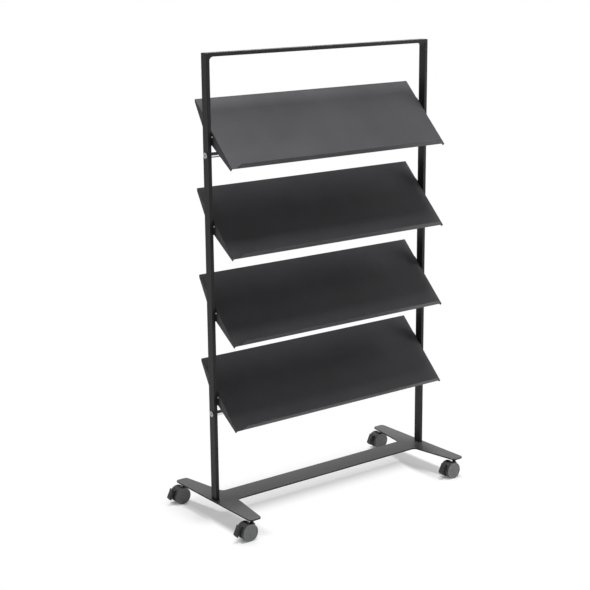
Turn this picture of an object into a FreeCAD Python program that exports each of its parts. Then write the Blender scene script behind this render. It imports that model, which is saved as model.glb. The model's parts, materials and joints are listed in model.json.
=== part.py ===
import FreeCAD, Part
import os
import re

import Sketcher

# Periodical display rack: a steel tube frame on a flat steel base with four twin-wheel brake
# casters, carrying four fixed sheet-steel shelves that slope towards the reader.
#
# Axes: X to the reader's right, Y to the back, Z up, millimetres, floor at Z = 0. The two
# uprights stand in the plane Y = 0. The part's origin lies under the middle of its bounding
# box: the casters trail to the left, so the frame is shifted by frame_shift along X.

# ---------------------------------------------------------------- driving dimensions

DIMENSIONS = {
    # frame of rectangular steel tube, measured over its outer faces
    "frame_width": 972.5,
    "rack_height": 1636.5,
    "tube_width": 12.7,
    "tube_depth": 31.8,
    "tube_wall": 1.6,
    "tube_round": 1.2,
    "corner_round": 3,
    "gusset_leg": 14,
    "gusset_toe": 0.6,
    # flat base plate, shaped like a wide H; it stands out past the frame by its overhang
    "base_overhang": 10.75,
    "base_depth": 474,
    "plate_thick": 5,
    "plate_clear": 73,
    "toe_width": 48,
    "heel_width": 79,
    "beam_depth": 94,
    "toe_round": 14,
    "crotch_round": 16,
    # shelves: a level is the height of a shelf's face in the uprights' middle plane
    "shelf_count": 4,
    "top_space": 239.5,
    "lowest_level": 492.5,
    "shelf_tilt": 45,
    "shelf_depth": 300,
    "shelf_reach": 184.6,
    "sheet_thick": 1.5,
    "bend_round": 2.4,
    "lip_height": 27.5,
    "lip_inset": 17,
    "lip_slant": 13,
    "lip_corner_round": 4,
    "side_front_drop": 10.5,
    "side_back_drop": 7,
    "side_drop": 42,
    "side_drop_place": 167,
    # brackets between the uprights and the shelves' sides
    "bracket_thick": 2,
    "bracket_depth": 50,
    "bracket_drop": 64.7,
    "bracket_bevel": 1.5,
    # bracket screws (countersunk) and shelf screws (button head) with their nuts
    "screw_radius": 2,
    "screw_gap": 0.05,
    "sink_head_radius": 3.75,
    "sink_screw_length": 9,
    "sink_screw_drop": 20,
    "sink_screw_spacing": 28,
    "shelf_screw_place": 20.2,
    "shelf_screw_front_drop": 35,
    "shelf_screw_back_drop": 15,
    "button_radius": 3.5,
    "button_thick": 2.2,
    "nut_across": 7,
    "nut_thick": 3.2,
    "screw_end": 1,
    # chrome cross tubes with their end plugs and bolts
    "cross_radius": 10,
    "cross_wall": 1.5,
    "cross_drop": 98,
    "cross_plug_length": 22,
    "bolt_radius": 4,
    "bolt_head_radius": 10.5,
    "bolt_head_thick": 3.4,
    "bolt_head_round": 1.6,
    "bolt_grip": 16,
    "socket_across": 6,
    "socket_deep": 2.4,
    # feet of the uprights: welded plugs and countersunk screws from under the plate
    "foot_plug_height": 14,
    "foot_screw_radius": 3,
    "foot_head_radius": 5.6,
    "foot_screw_place": 8,
    "foot_screw_length": 15,
    # casters: bush welded under the plate, swivel stem, housing, axle, two wheels, brake pedal
    "caster_inset_x": 24,
    "caster_inset_y": 25.5,
    "bush_radius": 7,
    "bush_height": 8,
    "collar_radius": 6.5,
    "collar_height": 10,
    "pin_radius": 4,
    "pin_length": 22,
    "running_gap": 0.05,
    "seat_gap": 0.25,
    "ring_place": 18,
    "ring_thick": 1,
    "ring_radius": 4.8,
    "ring_groove": 0.8,
    "trail": 20.3,
    "wheel_radius": 31,
    "caster_width": 45,
    "fin_width": 17,
    "wheel_side_gap": 0.5,
    "wheel_round": 1.8,
    "rim_thick": 4,
    "disc_thick": 3,
    "disc_recess": 0.8,
    "rim_band": 3.5,
    "hub_radius": 7,
    "axle_radius": 3,
    "snap_width": 1,
    "snap_deep": 0.5,
    "hood_radius": 30,
    "fin_drop": 8,
    "fin_reach": 21,
    "pedal_clearance": 1.5,
    "boss_radius": 8.5,
    "shoulder_radius": 11,
    "shoulder_height": 17,
    "shoulder_round": 3,
    # brake pedal, placed from the wheel axle: out to the left and up
    "hinge_out": 29,
    "hinge_up": 17,
    "hinge_pin_radius": 1.5,
    "eye_radius": 5,
    "tongue_width": 7.6,
    "lug_radius": 5.5,
    "pedal_width": 16.6,
    "slot_gap": 0.4,
    "pedal_head_out": 36.5,
    "pedal_head_up": 31.5,
    "pedal_tip_out": 52.5,
    "pedal_tip_up": -1.5,
    "pedal_toe_out": 45,
    "pedal_toe_up": -12,
    "pedal_back_out": 37.5,
    "pedal_back_up": 1,
    "pedal_round": 1.2,
}

# Sizes that follow from the driving dimensions, written once and used by name.
DERIVED = {
    "base_width": "frame_width + 2 * base_overhang",
    "frame_shift": "(caster_x + trail + pedal_tip_out - base_width / 2) / 2",
    "plate_top": "plate_clear + plate_thick",
    "half_base": "base_width / 2",
    "half_beam": "beam_depth / 2",
    "half_frame": "frame_width / 2",
    "inner_half": "half_frame - tube_width",
    "upright_x": "half_frame - tube_width / 2",
    "half_tube_depth": "tube_depth / 2",
    "half_shelf": "inner_half - bracket_thick",
    "half_bracket": "bracket_depth / 2",
    "shelf_back": "shelf_depth - shelf_reach",
    "lip_top": "lip_height - sheet_thick",
    "side_peak": "side_drop_place - shelf_reach",
    "screw_bore": "screw_radius + screw_gap",
    "sink_depth": "sink_head_radius - screw_radius",
    "foot_sink_depth": "foot_head_radius - foot_screw_radius",
    "foot_bore": "foot_screw_radius + screw_gap",
    "bolt_bore": "bolt_radius + screw_gap",
    "shelf_level": "rack_height - top_space",
    "shelf_pitch": "(shelf_level - lowest_level) / (shelf_count - 1)",
    "caster_x": "half_base - caster_inset_x",
    "caster_y": "base_depth / 2 - caster_inset_y",
    "collar_top": "plate_clear - bush_height",
    "collar_base": "collar_top - collar_height",
    "pin_end": "collar_base - pin_length",
    "ring_base": "collar_base - ring_place",
    "pin_bore": "pin_radius + running_gap",
    "half_fin": "fin_width / 2",
    "wheel_inside": "half_fin + wheel_side_gap",
    "wheel_outside": "caster_width / 2",
    "disc_face": "wheel_outside - disc_recess",
    "disc_inside": "disc_face - disc_thick",
    "recess_radius": "wheel_radius - rim_band",
    "axle_bore": "axle_radius + running_gap",
    "axle_end": "disc_inside - seat_gap",
    "snap_place": "(wheel_inside + disc_inside) / 2",
    "housing_top": "collar_base - seat_gap",
    "housing_base": "wheel_radius - fin_drop",
    "fin_end": "trail + fin_reach",
    "hinge_x": "-trail - hinge_out",
    "hinge_z": "wheel_radius + hinge_up",
    "half_tongue": "tongue_width / 2",
    "half_pedal": "pedal_width / 2",
    "half_slot": "half_tongue + slot_gap",
}

# The countersunk screws of a bracket and how far below the shelf's level they lie.
SINK_SCREWS = (
    ("upper", "sink_screw_drop"),
    ("lower", "sink_screw_drop + sink_screw_spacing"),
)
# The screws through a shelf's sides: place along Y and how far below the shelf's level.
SHELF_SCREWS = (
    ("front", "-shelf_screw_place", "shelf_screw_front_drop"),
    ("back", "shelf_screw_place", "shelf_screw_back_drop"),
)
SHELF_NAMES = ["shelf_%d" % (number + 1) for number in range(DIMENSIONS["shelf_count"])]
SIDES = {"left": -1, "right": 1}
CASTERS = {
    "front_left": (-1, -1),
    "front_right": (1, -1),
    "rear_left": (-1, 1),
    "rear_right": (1, 1),
}

doc = FreeCAD.newDocument("periodical_rack")
sheet = doc.addObject("Spreadsheet::Sheet", "Dims")
for row, (alias, size) in enumerate(DIMENSIONS.items(), start=1):
    sheet.set("A%d" % row, alias)
    sheet.set("B%d" % row, str(size))
    sheet.setAlias("B%d" % row, alias)
doc.recompute()

# ---------------------------------------------------------------- expressions and features

ALONG = {
    "X": FreeCAD.Rotation(FreeCAD.Vector(0, 1, 0), 90),
    "Y": FreeCAD.Rotation(FreeCAD.Vector(1, 0, 0), -90),
    "Z": FreeCAD.Rotation(),
}
bodies = []


def formula(text):
    """Turn a formula of plain size names into an expression on the sheet."""
    def swap(match):
        name = match.group(0)
        if name in DERIVED:
            return "(" + formula(DERIVED[name]) + ")"
        return "Dims." + name if name in DIMENSIONS else name
    return re.sub(r"[a-z][a-z_0-9]*", swap, str(text))


def value(text):
    """Work out a formula's present value."""
    return float(sheet.evalExpression(formula(text)))


def bind(item, **sizes):
    """Bind properties of an object to formulas; a double underscore stands for a dot."""
    for name, text in sizes.items():
        item.setExpression(name.replace("__", "."), formula(text))


def new_body(label, x="frame_shift", y="0", z="0", tilt="0"):
    """Start a sub-part whose own origin stands at x, y, z and which is tilted about X."""
    body = doc.addObject("PartDesign::Body", label)
    body.Label = label
    place = "placement(vector(%s; %s; %s); rotation(vector(1; 0; 0); %s))"
    bind(body, Placement=place % (x, y, z, tilt))
    bodies.append(body)
    return body


def origin_item(body, role):
    """Find one of the body's own origin planes or axes."""
    return next(item for item in body.Origin.OriginFeatures if item.Role == role)


def outline(body, name, plane, corners, offset=None):
    """Draw a closed straight-sided outline; each corner is a pair of formulas.

    XY_Plane takes (x, y), XZ_Plane takes (x, z) and YZ_Plane takes (y, z).
    """
    sketch = body.newObject("Sketcher::SketchObject", name)
    sketch.AttachmentSupport = [(origin_item(body, plane), "")]
    sketch.MapMode = "FlatFace"
    if offset is not None:
        bind(sketch, AttachmentOffset__Base__z=offset)
    places = [(value(across), value(up)) for across, up in corners]
    count = len(places)
    for index, place in enumerate(places):
        start = FreeCAD.Vector(*place, 0)
        end = FreeCAD.Vector(*places[(index + 1) % count], 0)
        sketch.addGeometry(Part.LineSegment(start, end), False)
    for index in range(count):
        sketch.addConstraint(Sketcher.Constraint("Coincident", index, 2, (index + 1) % count, 1))
    for index, corner in enumerate(corners):
        for kind, text in zip(("DistanceX", "DistanceY"), corner):
            rule = Sketcher.Constraint(kind, -1, 1, index, 1, value(text))
            number = sketch.addConstraint(rule)
            sketch.setExpression("Constraints[%d]" % number, formula(text))
    return sketch


def pad(body, sketch, name, length, both_ways=False, backwards=False):
    """Thicken an outline by a length."""
    item = body.newObject("PartDesign::Pad", name)
    item.Profile = sketch
    item.Midplane = both_ways
    item.Reversed = backwards
    bind(item, Length=length)
    return item


def cut_through(body, sketch, name):
    """Cut an outline right through the body, both ways."""
    item = body.newObject("PartDesign::Pocket", name)
    item.Profile = sketch
    item.Type = "ThroughAll"
    item.Midplane = True
    return item


def turned(body, name, along, corners, kind="Revolution"):
    """Turn an outline round X or Y; each corner is a pair (place along it, radius)."""
    plane = {"X": "XZ_Plane", "Y": "YZ_Plane"}[along]
    sketch = outline(body, name + "_outline", plane, corners)
    item = body.newObject("PartDesign::" + kind, name)
    item.Profile = sketch
    item.ReferenceAxis = (sketch, ["H_Axis"])
    item.Angle = 360
    return item


def shape(body, kind, name, along="Z", place=("0", "0", "0"), **sizes):
    """Add or cut a PartDesign primitive that starts at place and points along an axis."""
    item = body.newObject("PartDesign::" + kind, name)
    item.Placement = FreeCAD.Placement(FreeCAD.Vector(), ALONG[along])
    x, y, z = place
    bind(item, Placement__Base__x=x, Placement__Base__y=y, Placement__Base__z=z, **sizes)
    return item


def block(body, kind, name, low, high):
    """Add or cut a box between two opposite corners, each given as three formulas."""
    length, width, height = ("(%s) - (%s)" % (top, base) for base, top in zip(low, high))
    return shape(body, kind, name, place=low, Length=length, Width=width, Height=height)


def rows(body, name, axis, spacing, count, originals=(), backwards=False):
    """Repeat features, or the whole body where none are named, along an origin axis."""
    item = body.newObject("PartDesign::LinearPattern", name)
    if originals:
        item.Originals = list(originals)
    else:
        item.TransformMode = "Whole shape"
    item.Direction = (origin_item(body, axis), [""])
    item.Reversed = backwards
    item.Mode = "Spacing"
    bind(item, Offset=spacing, Occurrences=count)
    body.Tip = item
    return item


def mirror(body, name, plane, originals=()):
    """Mirror features, or the whole body where none are named, in an origin plane."""
    item = body.newObject("PartDesign::Mirrored", name)
    if originals:
        item.Originals = list(originals)
    else:
        item.TransformMode = "Whole shape"
    item.MirrorPlane = (origin_item(body, plane), [""])
    body.Tip = item
    return item


def round_edges(body, name, radius, chosen):
    """Round the edges of the body that the function chosen picks."""
    doc.recompute()
    base = body.Tip
    edges = base.Shape.Edges
    picked = ["Edge%d" % (index + 1) for index, edge in enumerate(edges) if chosen(edge)]
    item = body.newObject("PartDesign::Fillet", name)
    item.Base = (base, picked)
    bind(item, Radius=radius)


def near(first, second, reach=0.01):
    """Tell whether two lengths are the same."""
    return abs(first - second) < reach


def runs_along(edge, axis):
    """Tell whether an edge is a straight line along X (0), Y (1) or Z (2)."""
    if edge.Curve.TypeId != "Part::GeomLine":
        return False
    direction = edge.Curve.Direction
    return near(abs(direction[axis]), 1, 1e-6)


# ---------------------------------------------------------------- base and frame


def make_base_plate():
    """Flat H-shaped plate: a beam between two feet that narrow towards their tips."""
    body = new_body("base_plate", z="plate_clear")
    outer = "half_base"
    tip = "base_depth / 2"
    toe = "half_base - toe_width"
    heel = "half_base - heel_width"
    quarter = [(outer, tip), (toe, tip), (heel, "half_beam")]
    corners = quarter + [("-(%s)" % x, y) for x, y in reversed(quarter)]
    corners += [("-(%s)" % x, "-(%s)" % y) for x, y in quarter]
    corners += [(x, "-(%s)" % y) for x, y in reversed(quarter)]
    pad(body, outline(body, "plate_outline", "XY_Plane", corners), "plate", "plate_thick")
    heel_x = value(heel)
    tip_y = value(tip)

    def at_crotch(edge):
        return runs_along(edge, 2) and near(abs(edge.CenterOfMass.x), heel_x)

    def at_toe(edge):
        return runs_along(edge, 2) and near(abs(edge.CenterOfMass.y), tip_y)

    round_edges(body, "crotch_rounds", "crotch_round", at_crotch)
    round_edges(body, "toe_rounds", "toe_round", at_toe)
    for name, y in (("front", "-foot_screw_place"), ("rear", "foot_screw_place")):
        place = ("upright_x", y, "0")
        hole = shape(body, "SubtractiveCylinder", name + "_foot_hole", place=place,
                     Radius="foot_bore", Height="plate_thick")
        mirror(body, name + "_foot_holes", "YZ_Plane", [hole])
        sink = shape(body, "SubtractiveCone", name + "_foot_sink", place=place,
                     Radius1="foot_head_radius + screw_gap", Radius2="foot_bore",
                     Height="foot_sink_depth")
        mirror(body, name + "_foot_sinks", "YZ_Plane", [sink])


def make_upright(side, sign):
    """Rectangular tube with a closed, softly rounded top and holes for what it carries."""
    body = new_body(side + "_upright")
    outer = "%d * half_frame" % sign
    inner = "%d * inner_half" % sign
    low, high = sorted((outer, inner), key=value)
    block(body, "AdditiveBox", "tube", (low, "-half_tube_depth", "plate_top"),
          (high, "half_tube_depth", "rack_height"))
    outer_x = value(outer)
    top = value("rack_height")

    def at_outer_corner(edge):
        centre = edge.CenterOfMass
        return runs_along(edge, 1) and near(centre.x, outer_x) and near(centre.z, top)

    def at_tube_corner(edge):
        return runs_along(edge, 2) and near(abs(edge.CenterOfMass.x), abs(outer_x))

    round_edges(body, "top_round", "corner_round", at_outer_corner)
    round_edges(body, "tube_rounds", "tube_round", at_tube_corner)
    block(body, "SubtractiveBox", "hollow",
          ("(%s) + tube_wall" % low, "tube_wall - half_tube_depth", "plate_top"),
          ("(%s) - tube_wall" % high, "half_tube_depth - tube_wall", "rack_height - tube_wall"))
    bolt_level = "%s - cross_drop"
    for name, level in (("upper", "shelf_level"), ("lower", "lowest_level")):
        shape(body, "SubtractiveCylinder", name + "_bolt_hole", "X",
              (low, "0", bolt_level % level), Radius="bolt_bore", Height="tube_width")
    wall = "%d * (inner_half + tube_wall / 2) - tube_wall" % sign
    for name, drop in SINK_SCREWS:
        hole = shape(body, "SubtractiveCylinder", name + "_bracket_hole", "X",
                     (wall, "0", "shelf_level - (%s)" % drop),
                     Radius="screw_bore", Height="2 * tube_wall")
        rows(body, name + "_bracket_holes", "Z_Axis", "shelf_pitch", "shelf_count", [hole], True)


def make_top_rail():
    """Rectangular tube lying between the tops of the uprights."""
    body = new_body("top_rail")
    base = "rack_height - tube_width"
    block(body, "AdditiveBox", "tube", ("-inner_half", "-half_tube_depth", base),
          ("inner_half", "half_tube_depth", "rack_height"))
    round_edges(body, "tube_rounds", "tube_round", lambda edge: runs_along(edge, 0))
    block(body, "SubtractiveBox", "hollow",
          ("-inner_half", "tube_wall - half_tube_depth", base + " + tube_wall"),
          ("inner_half", "half_tube_depth - tube_wall", "rack_height - tube_wall"))


def make_gusset(side, sign):
    """Concave fillet piece welded into an upper inner corner of the frame."""
    body = new_body(side + "_corner_gusset")
    corner = "%d * inner_half" % sign
    reach = "%d * (inner_half - gusset_leg)" % sign
    low, high = sorted((corner, reach), key=value)
    top = "rack_height - tube_width"
    block(body, "AdditiveBox", "gusset", (low, "tube_round - half_tube_depth",
                                          top + " - gusset_leg"),
          (high, "half_tube_depth - tube_round", top))
    shape(body, "SubtractiveCylinder", "hollow_round", "Y",
          (reach, "-half_tube_depth", top + " - gusset_leg"),
          Radius="gusset_leg - gusset_toe", Height="tube_depth")


def make_cross_tubes():
    """Chromed round tubes that tie the uprights, under the top and the bottom shelf."""
    for name, level in (("upper", "shelf_level"), ("lower", "lowest_level")):
        body = new_body(name + "_cross_tube", z=level + " - cross_drop")
        turned(body, "tube", "X", [
            ("-inner_half", "cross_radius - cross_wall"), ("inner_half", "cross_radius - cross_wall"),
            ("inner_half", "cross_radius"), ("-inner_half", "cross_radius")])


def pair_of_levels(body):
    """Repeat a right-hand piece of the upper cross tube at both tubes and both ends."""
    rows(body, "levels", "Z_Axis", "shelf_level - lowest_level", "2", backwards=True)
    doc.recompute()
    mirror(body, "ends", "YZ_Plane")


def make_cross_plugs():
    """Threaded plugs pressed into the ends of the cross tubes."""
    body = new_body("cross_tube_plugs", z="shelf_level - cross_drop")
    turned(body, "plug", "X", [
        ("inner_half - cross_plug_length", "bolt_bore"), ("inner_half", "bolt_bore"),
        ("inner_half", "cross_radius - cross_wall"),
        ("inner_half - cross_plug_length", "cross_radius - cross_wall")])
    pair_of_levels(body)


def make_cross_bolts():
    """Low-head bolts through the uprights into the plugs, with hexagon sockets."""
    body = new_body("cross_tube_bolts", z="shelf_level - cross_drop")
    turned(body, "bolt", "X", [
        ("inner_half - bolt_grip", "0"), ("half_frame + bolt_head_thick", "0"),
        ("half_frame + bolt_head_thick", "bolt_head_radius"), ("half_frame", "bolt_head_radius"),
        ("half_frame", "bolt_radius"), ("inner_half - bolt_grip", "bolt_radius")])
    face = value("half_frame + bolt_head_thick")

    def at_head_rim(edge):
        return near(edge.CenterOfMass.x, face)

    round_edges(body, "head_round", "bolt_head_round", at_head_rim)
    hexagon(body, "socket", "YZ_Plane", "socket_across",
            "half_frame + bolt_head_thick - socket_deep", "socket_deep", cut=True)
    pair_of_levels(body)


def hexagon(body, name, plane, across, start, deep, cut=False, centre=("0", "0")):
    """Add or cut a hexagonal prism along the plane's normal, from start on."""
    corners = []
    for number in range(6):
        turn = "%d" % (60 * number + 30)
        reach = "(%s) / 2 / cos(30)" % across
        corners.append(("(%s) + (%s) * cos(%s)" % (centre[0], reach, turn),
                        "(%s) + (%s) * sin(%s)" % (centre[1], reach, turn)))
    sketch = outline(body, name + "_outline", plane, corners, offset=start)
    if not cut:
        return pad(body, sketch, name, deep)
    item = body.newObject("PartDesign::Pocket", name)
    item.Profile = sketch
    item.Reversed = True
    bind(item, Length=deep)
    return item


def make_foot_plugs():
    """Plugs welded into the lower ends of the uprights, tapped for the foot screws."""
    body = new_body("upright_foot_plugs")
    inside = "tube_wall + screw_gap"
    block(body, "AdditiveBox", "plug",
          ("inner_half + %s" % inside, "%s - half_tube_depth" % inside, "plate_top"),
          ("half_frame - (%s)" % inside, "half_tube_depth - (%s)" % inside,
           "plate_top + foot_plug_height"))
    hole = shape(body, "SubtractiveCylinder", "tapped_hole",
                 place=("upright_x", "foot_screw_place", "plate_top"),
                 Radius="foot_bore", Height="foot_plug_height")
    rows(body, "tapped_holes", "Y_Axis", "2 * foot_screw_place", "2", [hole], True)
    doc.recompute()
    mirror(body, "plugs", "YZ_Plane")


def make_foot_screws():
    """Countersunk screws that hold the uprights down on the base plate."""
    body = new_body("upright_foot_screws", z="plate_clear")
    shape(body, "AdditiveCone", "head", place=("upright_x", "foot_screw_place", "0"),
          Radius1="foot_head_radius", Radius2="foot_screw_radius", Height="foot_sink_depth")
    shape(body, "AdditiveCylinder", "shank",
          place=("upright_x", "foot_screw_place", "foot_sink_depth"),
          Radius="foot_screw_radius", Height="foot_screw_length - foot_sink_depth")
    doc.recompute()
    rows(body, "screw_pair", "Y_Axis", "2 * foot_screw_place", "2", backwards=True)
    doc.recompute()
    mirror(body, "screws", "YZ_Plane")


# ---------------------------------------------------------------- shelves and brackets


def shelf_place(drop, place):
    """Give the two places, along the slope and square to it, of a point on the shelf's side."""
    along = "(%s) * cos(shelf_tilt) - (%s) * sin(shelf_tilt)" % (place, drop)
    square = "-(%s) * sin(shelf_tilt) - (%s) * cos(shelf_tilt)" % (place, drop)
    return along, square


def make_shelf(number, label):
    """Bent steel sheet: sloping face, front lip square to it and tapered sides folded down."""
    body = new_body(label, z="shelf_level - %d * shelf_pitch" % number, tilt="shelf_tilt")
    front = "-shelf_reach"
    section = outline(body, "section", "YZ_Plane", [
        (front, "-sheet_thick"), ("shelf_back", "-sheet_thick"), ("shelf_back", "0"),
        ("sheet_thick - shelf_reach", "0"), ("sheet_thick - shelf_reach", "lip_top"),
        (front, "lip_top")])
    pad(body, section, "face_and_lip", "2 * half_shelf", both_ways=True)
    front_y = value(front)
    bottom = value("-sheet_thick")
    top = value("lip_top")

    def at_outer_bend(edge):
        centre = edge.CenterOfMass
        return runs_along(edge, 0) and near(centre.y, front_y) and near(centre.z, bottom)

    def at_inner_bend(edge):
        centre = edge.CenterOfMass
        return runs_along(edge, 0) and near(centre.y, value("sheet_thick") + front_y) and near(
            centre.z, 0)

    round_edges(body, "outer_bend", "bend_round", at_outer_bend)
    round_edges(body, "inner_bend", "bend_round - sheet_thick", at_inner_bend)
    ends = outline(body, "lip_end", "XZ_Plane", [
        ("half_shelf - lip_inset", "0"), ("half_shelf + lip_inset", "0"),
        ("half_shelf + lip_inset", "2 * lip_height"),
        ("half_shelf - lip_inset - lip_slant * 2 * lip_height / lip_top", "2 * lip_height")])
    end_cut = cut_through(body, ends, "lip_end_cut")
    mirror(body, "lip_ends", "YZ_Plane", [end_cut])

    def at_lip_corner(edge):
        centre = edge.CenterOfMass
        return runs_along(edge, 1) and near(centre.z, top)

    round_edges(body, "lip_corners", "lip_corner_round", at_lip_corner)
    side = outline(body, "side_outline", "YZ_Plane", [
        (front, "0"), (front, "-side_front_drop"), ("side_peak", "-side_drop"),
        ("shelf_back - side_back_drop", "-side_back_drop"), ("shelf_back", "0")],
        offset="half_shelf")
    flange = pad(body, side, "side", "sheet_thick", backwards=True)
    mirror(body, "sides", "YZ_Plane", [flange])
    half = value("half_shelf")

    def at_side_bend(edge):
        centre = edge.CenterOfMass
        return runs_along(edge, 1) and near(abs(centre.x), half) and near(centre.z, 0)

    round_edges(body, "side_bends", "bend_round", at_side_bend)
    for name, place, drop in SHELF_SCREWS:
        along, square = shelf_place(drop, place)
        shape(body, "SubtractiveCylinder", name + "_screw_holes", "X",
              ("-half_shelf", along, square), Radius="screw_bore", Height="2 * half_shelf")


def make_bracket(side, sign, number, label):
    """Steel plate screwed to an upright's inner face; its top follows the shelf's slope."""
    inside = "%d * half_shelf" % sign
    outside = "%d * inner_half" % sign
    body = new_body("%s_bracket_%s" % (side, label), z="shelf_level - %d * shelf_pitch" % number)
    slope = "(%shalf_bracket) * tan(shelf_tilt) - bracket_bevel"
    profile = outline(body, "outline", "YZ_Plane", [
        ("-half_bracket", "-bracket_drop"), ("half_bracket", "-bracket_drop"),
        ("half_bracket", slope % ""), ("-half_bracket", slope % "-")], offset=inside)
    pad(body, profile, "plate", "bracket_thick", backwards=sign < 0)
    low = min(inside, outside, key=value)
    for name, drop in SINK_SCREWS:
        shape(body, "SubtractiveCylinder", name + "_hole", "X", (low, "0", "-(%s)" % drop),
              Radius="screw_bore", Height="bracket_thick")
        start = inside if sign > 0 else "-half_shelf - sink_depth"
        wide = "sink_head_radius + screw_gap"
        narrow = "screw_bore"
        shape(body, "SubtractiveCone", name + "_sink", "X", (start, "0", "-(%s)" % drop),
              Radius1=wide if sign > 0 else narrow, Radius2=narrow if sign > 0 else wide,
              Height="sink_depth")
    for name, place, drop in SHELF_SCREWS:
        shape(body, "SubtractiveCylinder", name + "_shelf_hole", "X", (low, place, "-" + drop),
              Radius="screw_bore", Height="bracket_thick")


def repeat_at_shelves(body):
    """Repeat the top right-hand pieces at every shelf and on the left."""
    doc.recompute()
    rows(body, "levels", "Z_Axis", "shelf_pitch", "shelf_count", backwards=True)
    doc.recompute()
    mirror(body, "both_sides", "YZ_Plane")


def make_bracket_screws():
    """Countersunk screws from the brackets into the uprights' tapped walls."""
    body = new_body("bracket_screws", z="shelf_level - sink_screw_drop")
    turned(body, "screw", "X", [
        ("half_shelf", "0"), ("half_shelf + sink_screw_length", "0"),
        ("half_shelf + sink_screw_length", "screw_radius"),
        ("half_shelf + sink_depth", "screw_radius"), ("half_shelf", "sink_head_radius")])
    doc.recompute()
    rows(body, "pair", "Z_Axis", "sink_screw_spacing", "2", backwards=True)
    repeat_at_shelves(body)


def make_shelf_screws():
    """Button-head screws through the brackets and the shelves' sides."""
    body = new_body("shelf_screws", z="shelf_level")
    tip = "half_shelf - sheet_thick - nut_thick - screw_end"
    for name, place, drop in SHELF_SCREWS:
        shape(body, "AdditiveCylinder", name + "_shank", "X", (tip, place, "-" + drop),
              Radius="screw_radius", Height="inner_half - (%s)" % tip)
        shape(body, "AdditiveCone", name + "_head", "X", ("inner_half", place, "-" + drop),
              Radius1="button_radius", Radius2="button_radius / 2", Height="button_thick")
    repeat_at_shelves(body)


def make_shelf_nuts():
    """Hexagon nuts on the shelf screws, hidden behind the shelves' sides."""
    body = new_body("shelf_nuts", z="shelf_level")
    start = "half_shelf - sheet_thick - nut_thick"
    for name, place, drop in SHELF_SCREWS:
        hexagon(body, name + "_nut", "YZ_Plane", "nut_across", start, "nut_thick",
                centre=(place, "-" + drop))
        shape(body, "SubtractiveCylinder", name + "_bore", "X", (start, place, "-" + drop),
              Radius="screw_bore", Height="nut_thick")
    repeat_at_shelves(body)


# ---------------------------------------------------------------- casters


def repeat_at_feet(body):
    """Repeat a piece of the right rear caster at all four feet."""
    doc.recompute()
    mirror(body, "left_and_right", "YZ_Plane")
    doc.recompute()
    mirror(body, "front_and_rear", "XZ_Plane")


def make_caster_bushes():
    """Threaded bushes welded under the tips of the feet."""
    body = new_body("caster_bushes")
    place = ("caster_x", "caster_y", "collar_top")
    shape(body, "AdditiveCylinder", "bush", place=place, Radius="bush_radius",
          Height="bush_height")
    shape(body, "SubtractiveCylinder", "bore", place=place, Radius="pin_bore",
          Height="bush_height")
    repeat_at_feet(body)


def make_caster_stems():
    """Stems: a threaded end in the bush, a collar and the pin that the housing turns on."""
    body = new_body("caster_stems")
    x, y = "caster_x", "caster_y"
    shape(body, "AdditiveCylinder", "thread", place=(x, y, "collar_top"),
          Radius="pin_radius", Height="bush_height - 2 * seat_gap")
    shape(body, "AdditiveCylinder", "collar", place=(x, y, "collar_base"),
          Radius="collar_radius", Height="collar_height")
    shape(body, "AdditiveCylinder", "pin", place=(x, y, "pin_end"), Radius="pin_radius",
          Height="pin_length")
    shape(body, "SubtractiveCylinder", "groove_outside", place=(x, y, "ring_base"),
          Radius="2 * pin_radius", Height="ring_thick")
    shape(body, "AdditiveCylinder", "groove_core", place=(x, y, "ring_base"),
          Radius="pin_radius - ring_groove", Height="ring_thick")
    repeat_at_feet(body)


def make_stem_rings():
    """Retaining rings in the stems' grooves."""
    body = new_body("stem_rings")
    place = ("caster_x", "caster_y", "ring_base")
    shape(body, "AdditiveCylinder", "ring", place=place, Radius="ring_radius",
          Height="ring_thick")
    shape(body, "SubtractiveCylinder", "ring_bore", place=place,
          Radius="pin_radius - ring_groove", Height="ring_thick")
    repeat_at_feet(body)


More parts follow.
